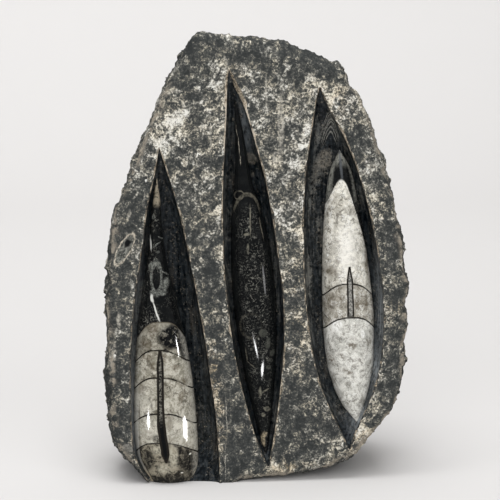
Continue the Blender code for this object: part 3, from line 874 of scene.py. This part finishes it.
def grooveCutter(name, rows):
    valuesAt, lowest, topmost = stationCurve(rows)
    wideGroove, wideHeight, wideReach, widerLeft, widerRight = grooveCut["wideTip"]

    def rimStart(heights, side, depth):
        places = zip(side * grooveCut["rimSidesApart"], heights)
        ragged = [noise.noise(Vector((x, 0.0, z)) / grooveCut["rimNoiseSize"]) for x, z in places]
        start = grooveCut["rim"] + grooveCut["rimNoise"] * np.array(ragged)
        if name == wideGroove:
            wider = np.where(side > 0, widerRight, widerLeft)
            start += wider * eased(np.abs(heights - wideHeight), wideReach, 0.0)
        return np.clip(start, 0.1, grooveCut["deepestRim"][name == wideGroove] * depth)

    def section(heights, c, s):
        left, right, depth = valuesAt(heights)
        rim = rimStart(heights, np.sign(c), depth)
        across, down = grooveCut["trough"]
        acrossFront, downFront = grooveCut["front"]
        behind = s > -1e-4
        half = (right - left) / 2
        x = np.where(behind, squared(c, across) * half, squared(c, acrossFront) * (half + grooveCut["flare"]))
        trough = rim + np.abs(s) ** down * (depth - rim)
        front = rim - np.abs(s) ** downFront * grooveCut["reachInFront"]
        return (left + right) / 2 + x, faceDepth(heights) + np.where(behind, trough, front)

    cutter = drawnSphere("groove_" + name, lowest, topmost, section, grooveCut["sides"], grooveCut["rings"])
    cutter.data.materials.append(stoneFinishes["polished"])
    cutter.data.materials.append(stoneFinishes["rim"])
    x, y, z = np.array([face.center for face in cutter.data.polygons]).T / millimetre
    left, right, depth = valuesAt(z)
    bevelled = y - faceDepth(z) < rimStart(z, np.sign(x - (left + right) / 2), depth)
    cutter.data.polygons.foreach_set("material_index", bevelled.astype(np.int32))
    return cutter


def cutAway(stone, cutter):
    cutting = {"operation": "DIFFERENCE", "solver": "MANIFOLD", "material_mode": "TRANSFER", "object": cutter}
    applyModifier(stone, "BOOLEAN", **cutting)
    bpy.data.objects.remove(cutter)
    print("cut, triangles:", sum(len(face.vertices) - 2 for face in stone.data.polygons))


def blobs(points, marks):
    # sum of soft patches seen from the front
    summed = np.zeros(len(points))
    for x, z, radiusX, radiusZ, amount in marks:
        across, up = (points[:, 0] - x) / radiusX, (points[:, 2] - z) / radiusZ
        summed += amount * np.exp(-(across**2 + up**2))
    return summed


def nearGroove(points, rows):
    # 1 at a groove's edge, falling off outwards
    valuesAt, lowest, topmost = stationCurve(rows)
    left, right, _ = valuesAt(points[:, 2])
    beside = np.maximum(left - points[:, 0], points[:, 0] - right)
    beyond = np.maximum(lowest - points[:, 2], points[:, 2] - topmost)
    away = np.hypot(np.maximum(beside, 0), np.maximum(beyond, 0))
    return np.exp(-away / slabMarks["nearReach"])


def stoneAttributes(stone):
    # where the stone is crusted, pale (paler towards the top as painted light), lit by painted sheen on the
    # groove walls, streaky and tan, read by its materials
    points = readPoints(stone)
    behind = points[:, 1] - faceDepth(points[:, 2])
    crust = eased(behind, 0.5, 1.4) * eased(behind, 4.0, 2.0) * eased(points[:, 2], 236.0, 205.0)
    writeAttribute(stone, "crust", crust)
    (low, lowAmount), (high, highAmount) = slabMarks["paintedLightByHeight"]
    # painted light: the face is made paler towards the top, for light falling from above
    paintedLightGradient = np.interp(points[:, 2], [low, high], [lowAmount, highAmount])
    nearRim = slabMarks["nearRim"] * sum(nearGroove(points, rows) for rows in grooves.values())
    front = eased(points[:, 1], 8.0, -8.0)
    writeAttribute(stone, "paleness", paintedLightGradient + front * (blobs(points, slabMarks["pale"]) + nearRim))
    for name in ("paintedSheen", "streaky", "rim", "tan"):
        writeAttribute(stone, name, blobs(points, slabMarks[name]))


# Broad patches of the face and of the groove walls: (x, z, radius across, radius up, how much).
slabMarks = {
    "paintedLightByHeight": ((40.0, -0.03), (210.0, 0.12)),  # (height, how much paler): paler towards the top, painted light for light falling from above
    "nearRim": 0.13,  # how much paler at a groove's edge
    "nearReach": 2.4,
    "pale": [
        (0.0, 240.0, 70.0, 8.0, -0.16), (40.0, 229.0, 16.0, 6.0, -0.12),
        (-36.0, 226.0, 9.0, 12.0, -0.08), (-22.0, 225.0, 8.0, 5.0, 0.08),
        (-36.0, 205.0, 10.0, 12.0, 0.04), (-44.7, 201.5, 4.6, 5.6, 0.30), (-44.0, 188.0, 9.0, 6.0, 0.08),
        (-17.0, 234.0, 6.0, 5.0, 0.10), (16.0, 215.0, 9.0, 16.0, 0.04), (11.0, 182.0, 4.5, 7.0, 0.12),
        (28.0, 190.0, 5.0, 26.0, 0.06), (20.0, 157.0, 3.5, 5.0, 0.12), (44.0, 212.0, 5.0, 7.0, 0.14),
        (31.0, 220.0, 5.0, 6.0, 0.10), (57.0, 200.0, 8.0, 10.0, -0.03), (62.0, 172.0, 7.0, 14.0, -0.04),
        (72.0, 140.0, 8.0, 22.0, -0.04), (-72.0, 150.0, 8.0, 18.0, -0.06), (-76.0, 120.0, 7.0, 14.0, -0.05),
        (-77.0, 60.0, 8.0, 30.0, -0.02), (-40.0, 165.0, 7.0, 10.0, -0.02), (-28.0, 130.0, 7.0, 16.0, -0.06),
        (-24.0, 95.0, 6.0, 16.0, -0.04), (-24.0, 55.0, 4.0, 26.0, 0.05), (-62.0, 8.0, 8.0, 10.0, -0.16),
        (22.0, 75.0, 8.0, 24.0, 0.03), (22.0, 158.0, 12.0, 36.0, 0.07), (20.0, 36.0, 8.0, 12.0, 0.05),
        (16.6, 8.0, 11.0, 3.8, 0.38), (40.0, 14.0, 13.0, 7.0, 0.18), (76.0, 98.0, 5.0, 6.0, 0.14),
        (76.0, 62.0, 5.0, 12.0, 0.04), (60.0, 26.0, 9.0, 8.0, 0.42), (22.0, 60.0, 7.0, 40.0, 0.05),
        (20.0, 130.0, 6.0, 20.0, 0.03),
    ],
    "tan": [
        (-25.0, 62.0, 3.5, 24.0, 0.9), (-20.5, 32.0, 3.0, 16.0, 0.9), (-12.0, 225.0, 3.0, 8.0, 0.8),
        (16.6, 8.0, 11.0, 4.0, 0.9), (76.0, 98.0, 6.0, 8.0, 0.6), (22.0, 95.0, 5.0, 40.0, 0.4),
        (45.0, 212.0, 6.0, 8.0, 0.6), (60.0, 24.0, 8.0, 6.0, 0.7),
    ],
    # lighter grey on groove walls: painted sheen, for light and reflection falling on them
    "paintedSheen": [
        (-7.5, 202.0, 2.2, 11.0, 0.50), (-5.0, 190.0, 2.6, 10.0, 0.30), (-48.0, 152.0, 3.0, 22.0, 0.03),
        (67.5, 128.0, 1.8, 26.0, 0.36),
        (70.0, 92.0, 2.2, 22.0, 0.8), (67.0, 58.0, 3.0, 14.0, 1.0), (57.0, 34.0, 4.5, 14.0, 0.9),
        (-18.0, 170.0, 1.2, 40.0, 0.10), (-66.0, 115.0, 3.0, 46.0, 0.34),
        (-70.5, 48.0, 2.5, 40.0, 0.7),
    ],
    "streaky": [
        (30.0, 150.0, 7.0, 46.0, 1.0), (29.0, 90.0, 4.0, 40.0, 0.9), (40.0, 190.0, 9.0, 16.0, 0.8),
        (58.0, 168.0, 5.0, 20.0, 0.7), (45.0, 44.0, 9.0, 12.0, 0.6), (-67.0, 100.0, 4.0, 60.0, 1.0),
        (-34.0, 90.0, 7.0, 50.0, 0.12), (-28.0, 40.0, 6.0, 40.0, 0.15), (-16.0, 185.0, 4.0, 30.0, 0.2),
        (12.0, 120.0, 4.0, 60.0, 0.5), (-16.0, 120.0, 4.0, 60.0, 0.5), (9.0, 40.0, 4.0, 24.0, 1.0),
    ],
    "rim": [
        (-17.0, 195.0, 4.0, 60.0, 0.32), (-4.0, 195.0, 9.0, 44.0, 0.34), (8.0, 60.0, 9.0, 50.0, 0.16),
        (-53.0, 182.0, 7.0, 14.0, 0.34), (-32.0, 110.0, 10.0, 70.0, 0.16), (-70.0, 80.0, 5.0, 60.0, -0.04),
        (31.0, 200.0, 5.0, 26.0, 0.20), (26.0, 110.0, 5.0, 60.0, 0.06), (50.0, 190.0, 9.0, 24.0, 0.26),
        (70.0, 95.0, 6.0, 50.0, -0.22), (60.0, 35.0, 8.0, 18.0, -0.10),
        (-66.0, 14.0, 8.0, 18.0, 0.06),
    ],
}

roughStone = {
    # (how pale, colour)
    "tones": [
        (0.34, (0.038, 0.041, 0.041)), (0.44, (0.057, 0.060, 0.058)), (0.50, (0.078, 0.081, 0.077)),
        (0.545, (0.114, 0.115, 0.105)), (0.585, (0.210, 0.207, 0.184)), (0.65, (0.41, 0.40, 0.355)),
        (0.71, (0.64, 0.62, 0.56)), (0.80, (0.86, 0.85, 0.80)),
    ],
    "middleTone": 0.466,
    "pit": (0.055, 0.058, 0.055),
    "cream": (1.0, 0.95, 0.86),
    "tan": (0.90, 0.77, 0.60),
    "crust": (0.36, 0.32, 0.26),
    "roughness": 0.75,
    "streaks": [
        (13.0, 200.0, 1.6, 14.0, 0.0), (5.0, 216.0, 0.6, 9.0, 0.0), (-25.5, 196.0, 0.4, 12.0, 0.0),
        (-17.8, 38.0, 0.22, 11.0, -2.0), (-18.6, 12.0, 0.2, 10.0, 0.0), (10.4, 182.0, 2.4, 3.0, 20.0),
        (20.0, 156.5, 1.3, 2.0, 20.0), (-16.6, 234.0, 0.8, 3.4, -20.0), (-76.7, 93.7, 1.1, 3.4, 0.0),
        (-80.6, 73.4, 1.7, 6.6, 8.0), (61.0, 176.0, 2.4, 0.5, 25.0), (57.0, 172.0, 2.0, 0.6, 0.0),
        (-62.0, 160.0, 0.5, 3.4, 6.0), (-70.0, 152.0, 0.7, 2.4, 10.0),
    ],
    "sparks": [(-79.4, 73.4, 0.7, 0.9, 0.0), (20.3, 156.8, 0.6, 1.0, 0.0), (-60.6, 170.0, 0.6, 0.9, 0.0)],
    "facet": (-72.8, 20.8, 3.4, 3.0, -20.0),
    "oval": (-73.0, 132.6, 3.5, 10.4, 30.0),  # a shell cut across its length, at the left margin
    "ovalCore": (-71.4, 136.0, 1.5, 2.2, 20.0),
    "colours": {
        "streak": (0.56, 0.53, 0.46), "spark": (0.86, 0.85, 0.80), "facetDark": (0.10, 0.10, 0.09),
        "facetPale": (0.30, 0.29, 0.26), "ovalDark": (0.045, 0.048, 0.046), "ovalPale": (0.26, 0.26, 0.23),
        "ovalCore": (0.012, 0.013, 0.014), "ovalEdge": (0.62, 0.56, 0.46),
    },
}


def paintOval(tree, place, front, colour):
    tints = roughStone["colours"]
    edgeOf = ellipse(tree, wavered(tree, place, 3.0, 0.8), *roughStone["oval"])
    grain = cloud(tree, place, 1.4, 4, 0.7)
    fill = mixed(tree, fade(tree, grain, 0.40, 0.60), tints["ovalDark"], tints["ovalPale"])
    core = fade(tree, ellipse(tree, place, *roughStone["ovalCore"]), 1.3, 0.7)
    fill = mixed(tree, core, fill, tints["ovalCore"])
    edge = lineAt(tree, edgeOf, 0.94, 0.06, 0.14)
    fill = laid(tree, fill, tints["ovalEdge"], edge, fade(tree, grain, 0.38, 0.56, 0.3, 1.0))
    return laid(tree, colour, fill, fade(tree, edgeOf, 1.08, 0.98), front)


def paintRoughStone():
    material, tree, shader = newMaterial("rough limestone")
    place = placeOnPiece(tree)
    pale, crust, tan = (attribute(tree, name) for name in ("paleness", "crust", "tan"))
    tints = roughStone["colours"]

    clumps = cloud(tree, place, 10.0, 4, 0.62)
    density = maths(tree, "MULTIPLY", total(tree, clumps, pale, -0.5), 0.62)
    fine = waver(tree, place, (1.1, 4, 0.74), 0.95)
    broad = waver(tree, place, (4.2, 6, 0.68, 0.6), 1.05)
    crests = fade(tree, ridges(tree, place, 4.2, 4), 1.30, 1.85)
    crests = product(tree, crests, 0.10, fade(tree, density, -0.05, 0.07))
    tone = total(tree, fine, broad, density, crests, roughStone["middleTone"])
    colour = ramp(tree, tone, roughStone["tones"])
    pits = patchy(tree, place, (0.9, 2, 0.6), 0.42, 0.34)
    colour = laid(tree, colour, roughStone["pit"], pits, fade(tree, tone, 0.54, 0.60), 0.9)
    warm = product(tree, patchy(tree, place, (9.0, 3), 0.38, 0.60), fade(tree, tone, 0.56, 0.62))
    colour = mixed(tree, warm, colour, roughStone["cream"], "MULTIPLY")
    browned = product(tree, tan, patchy(tree, place, (3.0, 3), 0.38, 0.56), fade(tree, tone, 0.50, 0.58), 0.9)
    colour = mixed(tree, browned, colour, roughStone["tan"], "MULTIPLY")

    ragged = wavered(tree, place, 2.5, 0.9)
    speckle = patchy(tree, place, (1.5, 4, 0.7), 0.42, 0.58, 0.1, 0.9)
    front = fade(tree, depthOf(tree, place), 5.0, -3.0)
    streaks = spots(tree, ragged, roughStone["streaks"], 0.5)
    colour = laid(tree, colour, tints["streak"], streaks, speckle, front)
    colour = mixed(tree, spots(tree, ragged, roughStone["sparks"]), colour, tints["spark"])
    facet = spots(tree, ragged, [roughStone["facet"]], 0.15)
    facetColour = mixed(tree, speckle, tints["facetDark"], tints["facetPale"])
    colour = laid(tree, colour, facetColour, facet, front, 0.85)
    colour = paintOval(tree, place, front, colour)

    crusted = product(tree, crust, patchy(tree, place, (6.0, 4, 0.65), 0.44, 0.56))
    crustGrain = patchy(tree, place, (2.0, 4, 0.7), 0.36, 0.52, 0.25, 0.95)
    colour = laid(tree, colour, roughStone["crust"], crusted, crustGrain)
    tree.links.new(colour, shader.inputs["Base Color"])
    shader.inputs["Roughness"].default_value = roughStone["roughness"]
    shader.inputs["Specular IOR Level"].default_value = 0.1
    relief = total(tree, cloud(tree, place, 1.4, 5, 0.7), product(tree, fade(tree, tone, 0.55, 0.66), 0.3))
    bumped(tree, shader, relief, 0.9)
    return material


polishedStone = {
    "black": (0.0024, 0.0044, 0.0062),
    "deep": (0.026, 0.032, 0.037),
    "streak": (0.140, 0.142, 0.132),
    # colour of the painted sheen on the groove walls
    "paintedSheen": (0.255, 0.277, 0.293),
    "brown": (0.050, 0.040, 0.028),
    "cream": (0.42, 0.37, 0.29),
    "roughness": (0.25, 0.45),
    "streakLength": 14.0,  # how many times longer than wide the grinding marks are
    "flakes": [(38.0, 178.5, 3.8, 6.0, 10.0), (-3.0, 180.3, 3.3, 3.0, 35.0), (-1.8, 171.0, 0.8, 1.6, 0.0)],
    # arched growth lines above the right shell
    "archMiddle": 41.2,
    "archSlope": 1.1,
    "archHeights": (207.6, 205.4, 202.0, 200.4, 197.6, 194.6),
    "archArea": (40.4, 198.0, 6.4, 11.5, 0.0),
    "arch": (0.27, 0.265, 0.235),
    "flake": (0.21, 0.19, 0.155),
}


def growthArches(tree, place):
    off = maths(tree, "ABSOLUTE", maths(tree, "SUBTRACT", sideOf(tree, place), polishedStone["archMiddle"]))
    drop = product(tree, maths(tree, "POWER", off, 1.5), polishedStone["archSlope"])
    level = total(tree, heightOf(tree, place), drop)
    heights = polishedStone["archHeights"]
    lines = highest(tree, *[lineAt(tree, level, height, 0.35, 0.5) for height in heights])
    return product(tree, lines, spots(tree, place, [polishedStone["archArea"]]))


def paintPolishedStone():
    material, tree, shader = newMaterial("polished limestone")
    place = placeOnPiece(tree)
    along = stretched(tree, place, (1.0, 1.0, 1 / polishedStone["streakLength"]))
    streaks = total(tree, cloud(tree, along, 1.3, 4, 0.7), cloud(tree, place, 2.2, 4, 0.7))
    streaks = maths(tree, "MULTIPLY", streaks, 0.5)
    patch = cloud(tree, stretched(tree, place, (1.0, 1.0, 0.35)), 7.0, 3)
    speckle = cloud(tree, place, 1.5, 4, 0.7, 0.8)
    colour = mixed(tree, fade(tree, streaks, 0.46, 0.58), polishedStone["black"], polishedStone["deep"])
    streaky = attribute(tree, "streaky")
    veil = fade(tree, maths(tree, "ADD", streaks, product(tree, patch, 0.6)), 0.79, 0.93)
    colour = laid(tree, colour, polishedStone["streak"], streaky, veil, 0.9)
    dust = product(tree, streaky, fade(tree, speckle, 0.50, 0.62), fade(tree, patch, 0.38, 0.54))
    colour = laid(tree, colour, polishedStone["streak"], dust, 0.75)
    brown = product(tree, fade(tree, patch, 0.52, 0.66), patchy(tree, along, (2.6, 3), 0.45, 0.62))
    colour = laid(tree, colour, polishedStone["brown"], brown, 0.4)
    # painted sheen: the groove walls lightened where light and reflection would fall
    paintedSheen = product(tree, attribute(tree, "paintedSheen"), fade(tree, streaks, 0.42, 0.56, 0.30, 1.05))
    colour = mixed(tree, paintedSheen, colour, polishedStone["paintedSheen"])

    ragged = wavered(tree, place, 2.5, 1.0)
    flakes = spots(tree, ragged, polishedStone["flakes"], 0.3)
    flaked = fade(tree, speckle, 0.44, 0.60, 0.2, 1.0)
    colour = laid(tree, colour, polishedStone["flake"], flakes, flaked, 0.9)
    arches = growthArches(tree, wavered(tree, place, 3.0, 0.5))
    colour = laid(tree, colour, polishedStone["arch"], arches, fade(tree, speckle, 0.40, 0.56, 0.3, 1.0))
    specks = patchy(tree, place, (1.1, 3, 0.7, 1.0), 0.58, 0.68)
    colour = laid(tree, colour, polishedStone["cream"], specks, fade(tree, patch, 0.38, 0.56, 0.3, 1.0), 0.6)
    tree.links.new(colour, shader.inputs["Base Color"])
    tree.links.new(fade(tree, streaks, 0.3, 0.8, *polishedStone["roughness"]), shader.inputs["Roughness"])
    bumped(tree, shader, cloud(tree, along, 1.0, 4, 0.6), 0.05)
    return material


groundRim = {
    # (how worn, colour)
    "tones": [
        (0.40, (0.020, 0.022, 0.023)), (0.50, (0.090, 0.088, 0.080)),
        (0.60, (0.36, 0.29, 0.20)), (0.72, (0.68, 0.61, 0.50)),
    ],
    "roughness": 0.65,
}


def paintGroundRim():
    material, tree, shader = newMaterial("ground rim")
    place = placeOnPiece(tree)
    grain = waver(tree, place, (1.2, 4, 0.7), 0.9)
    pale = maths(tree, "MULTIPLY", attribute(tree, "rim"), 0.5)
    worn = total(tree, cloud(tree, place, 4.0, 5, 0.7), pale, grain)
    tree.links.new(ramp(tree, worn, groundRim["tones"]), shader.inputs["Base Color"])
    shader.inputs["Roughness"].default_value = groundRim["roughness"]
    bumped(tree, shader, cloud(tree, place, 1.2, 4, 0.65), 0.3)
    return material


stone = rawStone()
print("stone remeshed", len(stone.data.vertices))
breakSurface(stone)
print("stone broken")
stoneFinishes = {"rough": paintRoughStone(), "polished": paintPolishedStone(), "rim": paintGroundRim()}
stone.data.materials.append(stoneFinishes["rough"])
for name, rows in grooves.items():
    cutAway(stone, grooveCutter(name, rows))
for name, rows in shells.items():
    sides, rings = slab["socketMesh"]
    cutter = shellForm("socket_" + name, rows, -slab["socketOverlap"], sides, rings)
    cutter.data.materials.append(stoneFinishes["polished"])
    cutAway(stone, cutter)
stoneAttributes(stone)
choose(stone)
bpy.ops.object.shade_smooth_by_angle(angle=slab["smoothBelow"])
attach(stone, "root")
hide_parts("limestone_slab")
print("slab carved")


studio = {
    "world": 0.10,
    "floor": (0.650, 0.639, 0.632),
    "floorDepth": (-1400.0, 1500.0),
    "floorWidth": 5000.0,
    "wallHeight": 2600.0,
    "corner": 700.0,
    # lamp: place, aim, size, power
    "lamps": {
        "key": ((-560.0, -1700.0, 950.0), (0.0, 0.0, 110.0), 1500.0, 18.0),
        "fill": ((1100.0, -1550.0, 900.0), (0.0, 0.0, 110.0), 1600.0, 11.0),
        "top": ((0.0, -900.0, 1800.0), (0.0, 0.0, 60.0), 900.0, 6.5),
        "wall": ((-200.0, 0.0, 2400.0), (-100.0, 1400.0, 1300.0), 1600.0, 60.0),
    },
    # glint: point on a shell, azimuth and elevation of the lamp seen there, its width, height and turn, power
    "glints": [
        ((-61.0, -35.6, 39.0), -57.0, -12.2, 11.0, 13.0, 0.0, 0.0004),
        ((-41.0, -35.0, 32.5), 71.5, -11.0, 22.0, 16.0, 0.0, 0.0014),
        ((-44.6, -30.2, 78.4), 76.0, 0.6, 6.0, 13.0, 0.0, 0.00022),
        ((3.5, -26.0, 114.5), 53.0, -2.6, 16.0, 20.0, 0.0, 0.00005),
        ((-1.2, -29.6, 77.0), -13.5, -12.0, 6.0, 36.0, 66.0, 0.00026),
        ((2.5, -30.0, 64.5), 18.0, -12.2, 80.0, 4.5, 12.5, 0.0007),
        ((50.0, -26.8, 132.2), 14.8, 1.7, 36.0, 8.0, 0.0, 0.00006),
    ],
    "glintDistance": 70.0,
    "glintSpread": math.radians(24.0),
}


def placeLamp(name, place, aim, shape, width, height, turn, power):
    lamp = bpy.data.lights.new(name, "AREA")
    lamp.shape = shape
    lamp.size, lamp.size_y = width * millimetre, height * millimetre
    lamp.energy = power
    holder = bpy.data.objects.new(name, lamp)
    holder.location = Vector(place) * millimetre
    facing = (Vector(place) - Vector(aim)).to_track_quat("Z", "Y").to_matrix()
    holder.rotation_euler = (facing @ Matrix.Rotation(math.radians(turn), 3, "Z")).to_euler()
    bpy.context.scene.collection.objects.link(holder)
    return holder


def makeStudio():
    for name, (place, aim, size, power) in studio["lamps"].items():
        lamp = placeLamp(name, place, aim, "SQUARE", size, size, 0.0, power)
        lamp.visible_glossy = False
        lamp.visible_camera = False
    for i, (spot, azimuth, elevation, width, height, turn, power) in enumerate(studio["glints"]):
        across, up = math.radians(azimuth), math.radians(elevation)
        away = Vector((math.sin(across) * math.cos(up), -math.cos(across) * math.cos(up), math.sin(up)))
        place = Vector(spot) + away * studio["glintDistance"]
        glint = placeLamp(f"glint{i}", place, spot, "ELLIPSE", width, height, turn, power)
        glint.data.spread = studio["glintSpread"]
        glint.visible_diffuse = False
        glint.visible_camera = False
    world = bpy.data.worlds.new("world")
    bpy.context.scene.world = world
    world.use_nodes = True
    background = world.node_tree.nodes["Background"]
    background.inputs["Color"].default_value = (studio["world"],) * 3 + (1.0,)
    bpy.context.scene.view_settings.view_transform = "Standard"


def makeFloor():
    front, back = studio["floorDepth"]
    bpy.ops.mesh.primitive_plane_add(size=1.0)
    floor = bpy.context.object
    floor.name = "floor"
    points = readPoints(floor) * millimetre
    points[:, 0] *= studio["floorWidth"]
    points[:, 1] = np.where(points[:, 1] < 0, front, back)
    writePoints(floor, points)
    choose(floor)
    bpy.ops.object.mode_set(mode="EDIT")
    bpy.ops.mesh.select_mode(type="EDGE")
    bpy.ops.mesh.select_all(action="DESELECT")
    bpy.ops.object.mode_set(mode="OBJECT")
    for edge in floor.data.edges:
        ends = [floor.data.vertices[i].co.y for i in edge.vertices]
        edge.select = min(ends) > 0
    bpy.ops.object.mode_set(mode="EDIT")
    rise = (0, 0, studio["wallHeight"] * millimetre)
    bpy.ops.mesh.extrude_region_move(TRANSFORM_OT_translate={"value": rise})
    bpy.ops.object.mode_set(mode="OBJECT")
    for edge in floor.data.edges:
        ends = [floor.data.vertices[i].co for i in edge.vertices]
        edge.select = all(end.y > 0 and end.z < 0.001 for end in ends)
    bpy.ops.object.mode_set(mode="EDIT")
    bpy.ops.mesh.bevel(offset=studio["corner"] * millimetre, segments=24, affect="EDGES")
    bpy.ops.object.mode_set(mode="OBJECT")
    bpy.ops.object.shade_smooth()
    material, _, shader = newMaterial("pale floor")
    shader.inputs["Base Color"].default_value = (*studio["floor"], 1.0)
    shader.inputs["Roughness"].default_value = 0.9
    shader.inputs["Specular IOR Level"].default_value = 0.0
    floor.data.materials.append(material)
    floor.visible_glossy = False


makeFloor()
makeStudio()
print("studio lit")
